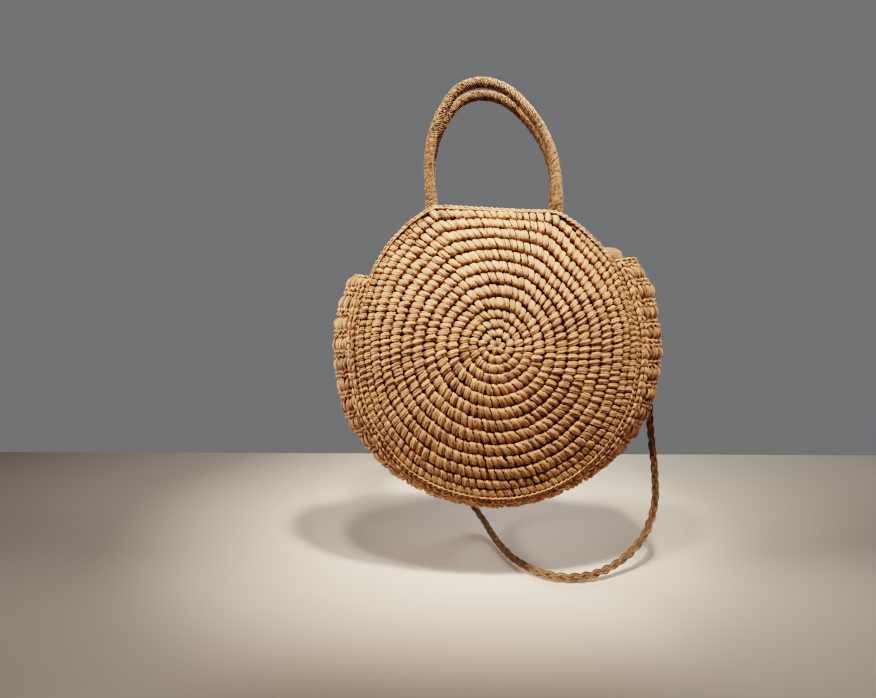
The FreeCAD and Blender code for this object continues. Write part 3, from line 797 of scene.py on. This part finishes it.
def gusset_frames(right_turn, left_turn, end_bow):
    """A band's arcs from its right free end under the bottom to the left one, and the length to each."""
    right = gusset_half(right_turn, RIGHT_EAR_BOW, RIGHT_EAR_ROUNDING, end_bow)
    left = gusset_half(left_turn, LEFT_EAR_BOW, LEFT_EAR_ROUNDING, end_bow)
    left = left[::-1] * [-1.0, 1.0, -1.0, 1.0, 1.0, 1.0]
    frames = np.concatenate([right, left[1:]])
    crown = frames[:, 0:2] + frames[:, 2:4] * frames[:, 4:5]
    return frames, run_of(crown)


GUSSET_BAND = gusset_frames(*GUSSET_ENDS, RIGHT_EAR_BOW)
gusset_run = GUSSET_BAND[1]


def on_gusset(place, across, height, band=GUSSET_BAND):
    """A point on a band's arc: place along it, across from -1 in front to 1 behind, height out of it."""
    values = at_run(*band, place)
    out = unit(values[..., 2:4])
    radius = values[..., 4]
    turn = across * (values[..., 5] - GUSSET_MARGIN / radius)
    reach = (radius + height) * np.cos(turn)
    x = values[..., 0] + out[..., 0] * reach
    z = values[..., 1] + out[..., 1] * reach
    return np.stack([x, (radius + height) * np.sin(turn), z], -1)


def rib_height(place):
    """The gusset's ribs: they rise from a groove, stand full over most of their width and sink again."""
    rib = gusset_run[-1] / GUSSET_RIBS
    return GUSSET_RIB * (np.abs(np.sin(np.pi * place / rib)) ** 0.7 - 0.55)


def rib_strands(gathered, rng, count, middle_share, long_share, wide, rise, half_width, slope, pair,
                stations, low_from, low_to):
    """One row of strands in every rib, spread evenly across the gusset.

    A strand arches out as the cosine of an angle from -100 to 100 degrees while it runs along the band,
    or across it, as the sine. Strands of a pair draw together at one end. Only ribs whose nearness to the
    bottom, 0 at the ears and 1 at the bottom, lies between the two bounds get them.
    """
    rib = gusset_run[-1] / GUSSET_RIBS
    number, stitch = np.meshgrid(np.arange(GUSSET_RIBS), np.arange(count), indexing="ij")
    nearness = np.sin(np.pi * (number + 0.5) / GUSSET_RIBS) ** 4
    chosen = (nearness >= low_from) & (nearness < low_to)
    number = number[chosen]
    stitch = stitch[chosen]
    low = nearness[chosen]
    total = len(number)
    step = 2.0 / count
    arch = np.radians(np.linspace(-100.0, 100.0, stations))
    over = np.sin(arch)
    place = (number + middle_share + rng.normal(0.0, 0.02, total)) * rib
    across = (stitch + 0.5 + 0.5 * (number % 2)) * step - 1.0 + rng.normal(0.0, 0.16 * step, total)
    way = np.where((stitch + number) % 2 == 0, 1.0, -1.0)
    plump = np.clip(rng.normal(1.0, 0.14, total), 0.7, 1.35)
    length = long_share * rib * rng.normal(1.0, 0.10, total)
    tilt = way * slope + rng.normal(0.0, 0.30, total)
    draw = pair * way[:, None] * step * 0.5 * smooth((0.2 - over) / 1.2)
    sideways = wide * step * over * np.sign(tilt + 1e-6)[:, None] + tilt[:, None] * over * step * 0.5 + draw
    where = np.clip(place[:, None] + length[:, None] * over, 0.0, gusset_run[-1])
    held = np.clip(across[:, None] + sideways, -1.0, 1.0)
    height = rib_height(where) - 0.0022 + (rise * plump * (1.0 - 0.58 * low))[:, None] * np.cos(arch)
    line = on_gusset(where, held, height)
    out = unit(on_gusset(where, held, height + 0.002) - line)
    taper = 0.50 + 0.50 * np.cos(arch * 0.86)
    # Painted shade: each strand darkens towards its ends, where it sinks into the rib.
    depth = np.clip(np.cos(arch) + 0.08, 0.0, 1.0)
    width = half_width * taper * rng.normal(1.0, 0.12, (total, 1))
    gathered.add(line, out, width, half_width * 0.95 * taper, depth, rng.random(total))


def gusset_rows(name, seed):
    """The gusset's ribs: in each one two rows of short knots across it, then a row of long claws along it.

    Near the bottom two more rows of knots take the place of the claws.
    """
    rng = np.random.default_rng(seed)
    gathered = Strands()
    for row in RIB_ROWS:
        rib_strands(gathered, rng, *row)
    return gathered.piece(name, CROCHET, slouch)


def gusset_backing(name):
    """The straw behind the gusset's stitches: a closed band, painted half way to the dark gap colour as
    shade.
    """
    place = np.linspace(0.0, gusset_run[-1], 320)[:, None]
    across = np.linspace(-1.0, 1.0, 28)[None, :]
    layers = []
    for sink in GUSSET_BACKING_DEPTHS:
        layers.append(on_gusset(place + 0 * across, across + 0 * place, rib_height(place) - sink))
    points, faces = closed_band(*layers)
    count = len(points)
    return add_piece(name, points, faces, CROCHET, np.zeros((count, 3)),
                     np.full(count, GUSSET_BACKING_PAINTED_LIGHT), np.full(count, BACKING_TONE))


def gusset_edges(name, seed):
    """The chains along the gusset's two long edges and over its free ends."""
    rng = np.random.default_rng(seed)
    gathered = Strands()
    across = np.linspace(-1.0, 1.0, END_POINTS)
    for place, inward in ((0.0008, 0.003), (gusset_run[-1] - 0.0008, gusset_run[-1] - 0.003)):
        path = on_gusset(np.full(END_POINTS, place), across, np.full(END_POINTS, -0.0008))
        inner = on_gusset(np.full(END_POINTS, inward), across, np.full(END_POINTS, -0.001))
        way = unit(path - inner)
        chain_links(gathered, path, way, END_LINK_PITCH, END_LINK_SIZE, rng, False)
        cord_core(gathered, path, way, END_CORE_RADIUS)
    place = np.linspace(0.002, gusset_run[-1] - 0.002, EDGE_POINTS)
    for edge in (-GUSSET_EDGE, GUSSET_EDGE):
        across = np.full(EDGE_POINTS, edge)
        path = on_gusset(place, across, np.full(EDGE_POINTS, -0.0004))
        way = unit(on_gusset(place, across, np.full(EDGE_POINTS, 0.002)) - path)
        chain_links(gathered, path, way, EDGE_LINK_PITCH, EDGE_LINK_SIZE, rng, False)
    return gathered.piece(name, RIM_STRAW, slouch)


# Handles
WRAP_PITCH = 0.0022
WRAP_STARTS = 8
WRAP_HEIGHT = 0.0011
TURN_STATIONS = 20
FOOT_PLACE = 0.055
FOOT_REACH = 0.022
FOOT_FULLNESS = 0.07
TIP_REACH = 0.004
FLAT_REACH = 0.030
FLAT_WIDENING = 0.28
FLAT_THINNING = 0.36
ROPE_END = 0.003
HANDLE_LEAN = 0.055
HANDLE_SWAY = 0.40
BACK_SPREAD = 0.004
TAIL_SEATS = (0.0048, 0.0070)
ROPE_PITCH = 0.0075
ROPE_STARTS = 3
ROPE_HEIGHT = 0.0019
FOLD_BELOW = 0.003
FOLD_ABOVE = 0.024


def lining_inner_y(x, z):
    """Distance of the lining's inner side from the bag's middle plane at a place."""
    up = (z - middle_z) / np.cos(lean)
    rim_y = half_depth - up * np.sin(lean)
    return rim_y + (face_swell(x, up) - LINING_DEPTH - LINING_THICKNESS) * np.cos(lean)


def handle_line(tails, spread):
    """Middle line of the back handle from the right foot over the crown to the left.

    It is straight legs, side arcs and a crown arc, with the sewn tails before and after them if asked
    for, moved to the left by a share of the height and a share of its square. The spread moves the
    right leg out.
    """
    half = HANDLE_SPACING / 2
    centre_x = half - HANDLE_SIDE_RADIUS
    gap = HANDLE_SIDE_RADIUS - HANDLE_CROWN_RADIUS
    crown_turn = np.arccos((HANDLE_SIDE_RADIUS - half) / gap)
    leg_top = pivot_z + HANDLE_LEG
    turn = np.linspace(0.0, crown_turn, 120)
    side = np.stack([centre_x + HANDLE_SIDE_RADIUS * np.cos(turn),
                     leg_top + HANDLE_SIDE_RADIUS * np.sin(turn)], -1)
    turn = np.linspace(crown_turn, np.pi / 2, 60)
    crown = np.stack([HANDLE_CROWN_RADIUS * np.cos(turn),
                      leg_top + gap * np.sin(crown_turn) + HANDLE_CROWN_RADIUS * np.sin(turn)], -1)
    leg = np.stack([np.full(20, half), np.linspace(pivot_z, leg_top, 20)], -1)
    flat = np.concatenate([leg, side[1:], crown[1:]])
    right = np.stack([flat[:, 0], np.full(len(flat), handle_y), flat[:, 1]], -1)
    if tails:
        waist_z = pivot_z - HANDLE_BEND_HEIGHT - TAIL_DROP
        tip_z = waist_z - TAIL_LENGTH
        z = np.linspace(tip_z, pivot_z, 60, endpoint=False)
        seat = lining_inner_y(half, z) - np.interp(z, [tip_z, waist_z], TAIL_SEATS)
        loose = smooth((z - waist_z) / (pivot_z - 0.004 - waist_z))
        y = seat * (1.0 - loose) + handle_y * loose
        tail = np.stack([np.full(60, half), y, z], -1)
        right = np.concatenate([tail, right])
    left = right[::-1] * [-1.0, 1.0, 1.0]
    line = np.concatenate([right, left[1:]])
    height = np.maximum(line[:, 2] - pivot_z, 0.0)
    line[:, 0] += spread * smooth(height / 0.03) * smooth(0.5 + line[:, 0] / HANDLE_SPACING)
    line[:, 0] -= HANDLE_LEAN * height + HANDLE_SWAY * height ** 2
    return line


def wound(name, line, size, flatten, material, pitch, starts, half_height, seed):
    """Threads wound side by side round a line, over a plain tube.

    Each thread goes round as a screw while it runs along; several threads share one turn.
    """
    rng = np.random.default_rng(seed)
    run = run_of(line)
    lead = pitch * starts
    stations = int(run[-1] / lead * TURN_STATIONS)
    place = np.linspace(0.0, run[-1], stations)
    middle = at_run(line, run, place)
    along = unit(np.gradient(middle, axis=0))
    across = unit(np.cross(along, (0.0, 1.0, 0.0)))
    front = np.cross(across, along)
    wide, thin = flatten(place, run[-1])
    radius = size(place, run[-1])
    drift = np.interp(place, np.linspace(0.0, run[-1], 60), rng.normal(0.0, 0.12, 60))
    turn = 2 * np.pi * (np.arange(starts)[:, None] / starts - place / lead) + drift
    turn = turn + rng.normal(0.0, 0.03, (starts, stations))
    side_way = (np.cos(turn) * wide)[..., None] * across
    out = side_way + (np.sin(turn) * thin)[..., None] * front
    lifted = radius - half_height * rng.normal(1.0, 0.10, (starts, stations))
    slant = np.arctan2(lead, 2 * np.pi * radius.max())
    half_width = 0.41 * pitch * np.cos(slant) * np.minimum(1.0, radius / radius.max())
    gathered = Strands()
    # Painted light that varies at random along each thread; the thread's sides are painted dark, a painted
    # shade between threads.
    depth = np.clip(rng.normal(0.80, 0.26, (starts, stations)), 0.25, 1.0)
    tone = np.clip(rng.random((starts, 1)) * 0.4 + 0.6 * rng.random((starts, stations)), 0.0, 1.0)
    gathered.add(middle + lifted[..., None] * out, out, half_width, half_height, depth, tone, 6, (0.8, 0.8))
    # The tube under the threads is painted nearly all in the dark gap colour, as shade.
    inner = np.maximum(radius - half_height * 1.5, 0.0004)
    gathered.add(middle[None], front[None], inner * wide, inner * thin, 0.05, [BACKING_TONE], 20)
    return gathered.piece(name, material)


def handle_size(place, length):
    """A handle's radius along it: a little fuller at its feet, closed at the tips of its tails."""
    end = np.minimum(place, length - place)
    foot = np.exp(-((end - FOOT_PLACE) / FOOT_REACH) ** 2)
    tip = np.sqrt(np.clip(end / TIP_REACH, 0.02, 1.0))
    return HANDLE_RADIUS * (1.0 + FOOT_FULLNESS * foot) * tip


def handle_flatten(place, length):
    """Shares of a handle's width and thickness: the tails are sewn flat."""
    end = np.minimum(place, length - place)
    flat = 1.0 - smooth(end / FLAT_REACH)
    return 1.0 + FLAT_WIDENING * flat, 1.0 - FLAT_THINNING * flat


def rope_size(place, length):
    """The rope's radius, rounded off at both ends."""
    end = np.minimum(place, length - place)
    return HANDLE_CORE_RADIUS * np.sqrt(np.clip(end / ROPE_END, 0.02, 1.0))


def round_all_along(place, length):
    """Shares of width and thickness that stay 1 over the whole length."""
    return np.ones_like(place), np.ones_like(place)


def handle(side_name, side, seed):
    """A wrapped handle with its sewn tails, and the rope inside it."""
    spread = BACK_SPREAD if side > 0 else 0.0
    line = handle_line(True, spread) * [1.0, side, 1.0]
    wrap = wound(side_name + "_handle_wound", line, handle_size, handle_flatten, HANDLE_STRAW,
                 WRAP_PITCH, WRAP_STARTS, WRAP_HEIGHT, seed)
    rope_line = handle_line(False, spread) * [1.0, side, 1.0]
    rope = wound(side_name + "_handle_rope", rope_line, rope_size, round_all_along, ROPE,
                 ROPE_PITCH, ROPE_STARTS, ROPE_HEIGHT, seed + 1)
    start = (0.0, side * handle_y, pivot_z - FOLD_BELOW)
    end = (0.0, side * handle_y, pivot_z + FOLD_ABOVE)
    for piece, slot in ((wrap, "handle_straw"), (rope, "rope_core")):
        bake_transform(piece)
    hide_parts(side_name + "_handle_wrap", side_name + "_handle_tails")
    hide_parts(side_name + "_handle_core")


# Shoulder strap
PLAIT_PERIOD = 0.0420
PLAIT_REACH = 0.0027
PLAIT_LIFT = 0.0017
PLY_SPACING = 0.00092
PLY_HALF_WIDTH = 0.00062
PLY_HALF_HEIGHT = 0.00125
OUTER_PLY_DROP = 0.00045
STRAP_STEP = 0.0014
WHIP_PITCH = 0.0026
WHIP_HEIGHT = 0.0010
ANCHOR_NECK = 0.0056
ANCHOR_TAPER = 0.008


def strap_line():
    """Points read from the strap's smooth line, a NURBS spline on its route, evenly spaced."""
    curve = bpy.data.curves.new("strap_line", "CURVE")
    curve.dimensions = "3D"
    spline = curve.splines.new("NURBS")
    spline.points.add(len(STRAP_ROUTE) - 1)
    spline.points.foreach_set("co", [value for point in STRAP_ROUTE for value in (*point, 1.0)])
    spline.order_u = 3
    spline.use_endpoint_u = True
    curve.resolution_u = 24
    holder = bpy.data.objects.new("strap_line", curve)
    read = bpy.data.meshes.new_from_object(holder)
    points = np.empty(len(read.vertices) * 3)
    read.vertices.foreach_get("co", points)
    points = points.reshape(-1, 3)
    bpy.data.objects.remove(holder)
    bpy.data.curves.remove(curve)
    bpy.data.meshes.remove(read)
    run = run_of(points)
    return at_run(points, run, np.linspace(0.0, run[-1], int(run[-1] / STRAP_STEP)))


def carried(line, first):
    """A way square to a line carried along it without twist, from its first point on."""
    along = unit(np.gradient(line, axis=0))
    ways = np.empty_like(line)
    way = unit(np.asarray(first, dtype=float))
    for number, tangent in enumerate(along):
        way = unit(way - tangent * (way @ tangent))
        ways[number] = way
    return ways, along


def plaited_strap():
    """Three flat strands of four plies, plaited.

    A strand swings across as a sine and up and down as the sine of twice the angle; its plies lie side by
    side, the outer two a little lower.
    """
    rng = np.random.default_rng(51)
    line = strap_line()
    up, along = carried(line, (0.4, 0.9, 0.0))
    across = np.cross(along, up)
    run = run_of(line)
    gathered = Strands()
    for strand in range(3):
        swing = 2 * np.pi * run / PLAIT_PERIOD + 2 * np.pi * strand / 3
        for ply in (-1.5, -0.5, 0.5, 1.5):
            outer = abs(ply) > 1.0
            wobble = np.interp(run, np.linspace(0.0, run[-1], 160), rng.normal(0.0, 0.00022, 160))
            side_way = PLAIT_REACH * np.sin(swing) + ply * PLY_SPACING + wobble
            lift = PLAIT_LIFT * np.sin(2 * swing) - OUTER_PLY_DROP * outer
            middle = line + across * side_way[:, None] + up * lift[:, None]
            # Painted shade: darker where a strand passes through the middle level between the others, and on
            # the lower outer plies.
            depth = np.clip(0.50 + 0.50 * np.abs(np.sin(2 * swing)) - 0.16 * outer, 0.0, 1.0)
            gathered.add(middle[None], up[None], PLY_HALF_WIDTH, PLY_HALF_HEIGHT, depth, rng.random(1))
    strap = gathered.piece("plaited_strap", PLAIT_STRAW)
    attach(strap, "bag")
    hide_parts("shoulder_strap")


def anchor_size(place, length):
    """Radius of the sleeve along it: a taper from the strap, a straight run and a quarter-round top."""
    taper = smooth(place / ANCHOR_TAPER)
    past = np.maximum((place - length + ANCHOR_RADIUS) / ANCHOR_RADIUS, 0.0)
    top = np.sqrt(np.clip(1.0 - past ** 2, 0.002, 1.0))
    return (ANCHOR_NECK + (ANCHOR_RADIUS - ANCHOR_NECK) * taper) * top


def anchor(name, node, seat, below, seed):
    """The whipped end of the strap: a sleeve wound with straw, narrow at the strap and round on top."""
    seat = np.array(seat)
    way = unit(seat - np.array(below))
    line = seat + way * np.linspace(0.0, ANCHOR_LENGTH, 60)[:, None]
    piece = wound(name, line, anchor_size, round_all_along, PLAIT_STRAW, WHIP_PITCH, 1, WHIP_HEIGHT, seed)
    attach(piece, "bag")
    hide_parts(node)


# Lining
LINING_RINGS = 60
LINING_POINTS = 220
LINING_SINK = 0.0006
LINING_ENDS = (np.radians(44.0), np.radians(22.4))
LINING_END_BOW = 0.010
LINING_EDGE = 0.90
BAND_ROWS = 240
BAND_COLUMNS = 30
SWELL_HEIGHT = 0.0135
SWELL_PLACE = 0.031
SWELL_REACH = 0.014


def lining_face(name, node, side, seed):
    """The lining behind a face: rings about the middle, with shallow folds that grow towards the rim."""
    rng = np.random.default_rng(seed)
    share = np.linspace(0.0, 1.0, LINING_RINGS)[:, None]
    angle = np.linspace(0.0, 2 * np.pi, LINING_POINTS, endpoint=False)[None, :]
    radius = share * (rim_reach(angle) - LINING_MARGIN)
    u = radius * np.cos(angle)
    v = radius * np.sin(angle)
    fold = np.zeros_like(u)
    for turns in (5, 9, 14):
        fold = fold + rng.normal(0.0, 0.0006) * np.sin(turns * angle + rng.random() * 6.3)
    w = face_swell(u, v) - LINING_DEPTH + fold * share ** 2 - LINING_SINK * share ** 2
    layers = [on_face(u, v, height, side).reshape(-1, 3) for height in (w, w - LINING_THICKNESS)]
    piece = closed_sheet(name, layers, LINING_RINGS, LINING_POINTS, LINING, side > 0)
    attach(piece, "bag")
    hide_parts(node)


def lining_band(name, node):
    """The lining's side strip inside the gusset, on arcs moved in.

    Its soft cross folds are sines along it, and near its right end it swells out as a bell curve.
    """
    band = gusset_frames(*LINING_ENDS, LINING_END_BOW)
    length = band[1][-1]
    place = np.linspace(0.0, length, BAND_ROWS)[:, None] + np.zeros((1, BAND_COLUMNS))
    across = np.linspace(-LINING_EDGE, LINING_EDGE, BAND_COLUMNS)[None, :] + np.zeros((BAND_ROWS, 1))
    fold = 0.0007 * np.sin(place * 120.0) * np.cos(across * 1.4) + 0.0004 * np.sin(place * 310.0 + 1.0)
    swell = SWELL_HEIGHT * np.exp(-((place - SWELL_PLACE) / SWELL_REACH) ** 2) * np.cos(across * 1.3)
    layers = []
    for sink in (LINING_DEPTH, LINING_DEPTH + LINING_THICKNESS):
        layers.append(on_gusset(place, across, swell - sink + fold, band))
    points, faces = closed_band(*layers)
    piece = add_piece(name, points, faces, LINING)
    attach(piece, "bag")
    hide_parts(node)


# The pieces
plaited_strap()
anchor("strap_anchor_right_whipped", "strap_anchor_right", STRAP_ROUTE[0], STRAP_ROUTE[1], 61)
anchor("strap_anchor_left_whipped", "strap_anchor_left", STRAP_ROUTE[-1], STRAP_ROUTE[-2], 62)
for face_name, face_side, face_seed in (("front", -1, 11), ("back", 1, 12)):
    stitches = crochet_face(face_name + "_outer_rounds", face_side, face_seed,
                            INNER_ROUNDS, len(ROUND_WIDTHS))
    inner_rounds = crochet_face(face_name + "_inner_rounds", face_side, face_seed, 0, INNER_ROUNDS)
    backing = face_backing(face_name + "_backing", face_side)
    links = rim_chain(face_name + "_rim_links", face_side, face_seed + 10)
    for piece, slot in ((stitches, "crochet_straw"), (inner_rounds, "crochet_straw"),
                        (backing, "crochet_straw"), (links, "rim_straw")):
        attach(piece, "bag")
    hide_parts(face_name + "_panel")
    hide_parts(face_name + "_rim_chain")
    handle(face_name, face_side, face_seed + 20)
    lining_face(face_name + "_lining_cloth", "lining_" + face_name, face_side, face_seed + 30)
band = gusset_rows("gusset_stitches", 41)
for piece, slot in ((band, "crochet_straw"), (gusset_backing("gusset_backing"), "crochet_straw"),
                    (gusset_edges("gusset_edge_links", 42), "rim_straw")):
    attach(piece, "bag")
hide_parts("gusset")
lining_band("gusset_lining_cloth", "lining_gusset")
for node in ("snap_stud", "snap_socket", "snap_washers"):
    snap_object = frame["nodes"][node]
    for material_slot in snap_object.material_slots:
        material_slot.material = SNAP

# Floor, light and camera
FLOOR_HALF_WIDTH = 1.8
FLOOR_NEAR = -1.3
FLOOR_FAR = 0.64
FLOOR_GAP = 0.0004
FLOOR_ROWS = 18
FLOOR_COLUMNS = 30
floor_z = min(point[2] for point in STRAP_ROUTE) - STRAP_DIAMETER / 2 - FLOOR_GAP
floor_x, floor_y = np.meshgrid(np.linspace(-FLOOR_HALF_WIDTH, FLOOR_HALF_WIDTH, FLOOR_COLUMNS),
                               np.linspace(FLOOR_NEAR, FLOOR_FAR, FLOOR_ROWS))
floor_points = np.stack([floor_x, floor_y, np.full_like(floor_x, floor_z)], -1)
floor = add_piece("floor", floor_points.reshape(-1, 3), grid_faces(FLOOR_ROWS, FLOOR_COLUMNS), FLOOR)


def soft_light(name, place, target, size, power, colour, spread=180.0):
    """A round light that looks at a point, with its spread in degrees."""
    data = bpy.data.lights.new(name, "AREA")
    data.shape = "DISK"
    data.size = size
    data.energy = power
    data.spread = np.radians(spread)
    data.color = colour
    lamp = bpy.data.objects.new(name, data)
    back = unit(np.array(place) - np.array(target))
    right = unit(np.cross((0.0, 0.0, 1.0), back))
    above = np.cross(back, right)
    turn = Matrix(np.stack([right, above, back], 1).tolist()).to_4x4()
    lamp.matrix_world = Matrix.Translation(place) @ turn
    bpy.context.scene.collection.objects.link(lamp)


body_top = (0.0, -0.04, middle_z + 0.20)
body_middle = (0.0, 0.0, middle_z)
soft_light("key", (0.10, -0.40, middle_z + 0.82), body_top, 0.10, 0.80, (1.0, 0.88, 0.73), 42.0)
soft_light("second", (-0.13, -0.40, middle_z + 0.82), body_top, 0.12, 0.33, (1.0, 0.89, 0.75), 42.0)
soft_light("front", (-0.06, -0.62, middle_z + 1.12), body_middle, 0.16, 1.02, (0.94, 0.97, 1.0), 110.0)
soft_light("left_wall", (-0.90, -0.16, middle_z + 0.16), (-0.12, 0.0, middle_z + 0.06), 0.40, 0.75,
           (1.0, 0.96, 0.92), 44.0)
soft_light("right_wall", (0.90, -0.12, middle_z + 0.16), (0.12, 0.0, middle_z + 0.06), 0.40, 0.35,
           (1.0, 0.96, 0.92), 44.0)
soft_light("rear", (0.2, 1.5, middle_z + 0.70), body_middle, 0.8, 8.6, (0.98, 0.99, 1.0))

BACKDROP_GREY = 0.152
FILL_GREY = 0.030
world = bpy.data.worlds.new("studio")
world.use_nodes = True
background = world.node_tree.nodes["Background"]
background.inputs["Color"].default_value = (0.98, 1.0, 1.02, 1.0)
seen = world.node_tree.nodes.new("ShaderNodeLightPath")
strength = world.node_tree.nodes.new("ShaderNodeMapRange")
strength.inputs["To Min"].default_value = FILL_GREY
strength.inputs["To Max"].default_value = BACKDROP_GREY
world.node_tree.links.new(seen.outputs["Is Camera Ray"], strength.inputs["Value"])
world.node_tree.links.new(strength.outputs["Result"], background.inputs["Strength"])
bpy.context.scene.world = world

CAMERA_PLACE = (-0.0310, -0.5955, middle_z + 0.0023)
CAMERA_FORWARD = (-0.0111, 0.9999, -0.0078)
CAMERA_RIGHT = (0.9999, 0.0111, 0.0013)
camera_data = bpy.data.cameras.new("photo_view")
camera_data.sensor_width = 36.0
camera_data.lens = 19.73
camera_data.shift_x = -0.0285
camera_data.shift_y = 0.0011
camera_data.clip_start = 0.01
camera = bpy.data.objects.new("photo_view", camera_data)
forward = unit(np.array(CAMERA_FORWARD))
right = unit(np.array(CAMERA_RIGHT))
above = np.cross(right, forward)
camera_turn = Matrix(np.stack([right, above, -forward], 1).tolist()).to_4x4()
camera.matrix_world = Matrix.Translation(CAMERA_PLACE) @ camera_turn
bpy.context.scene.collection.objects.link(camera)
bpy.context.scene.camera = camera
bpy.context.scene.view_settings.view_transform = "Filmic"
bpy.context.scene.view_settings.look = "Very High Contrast"

bpy.context.view_layer.update()
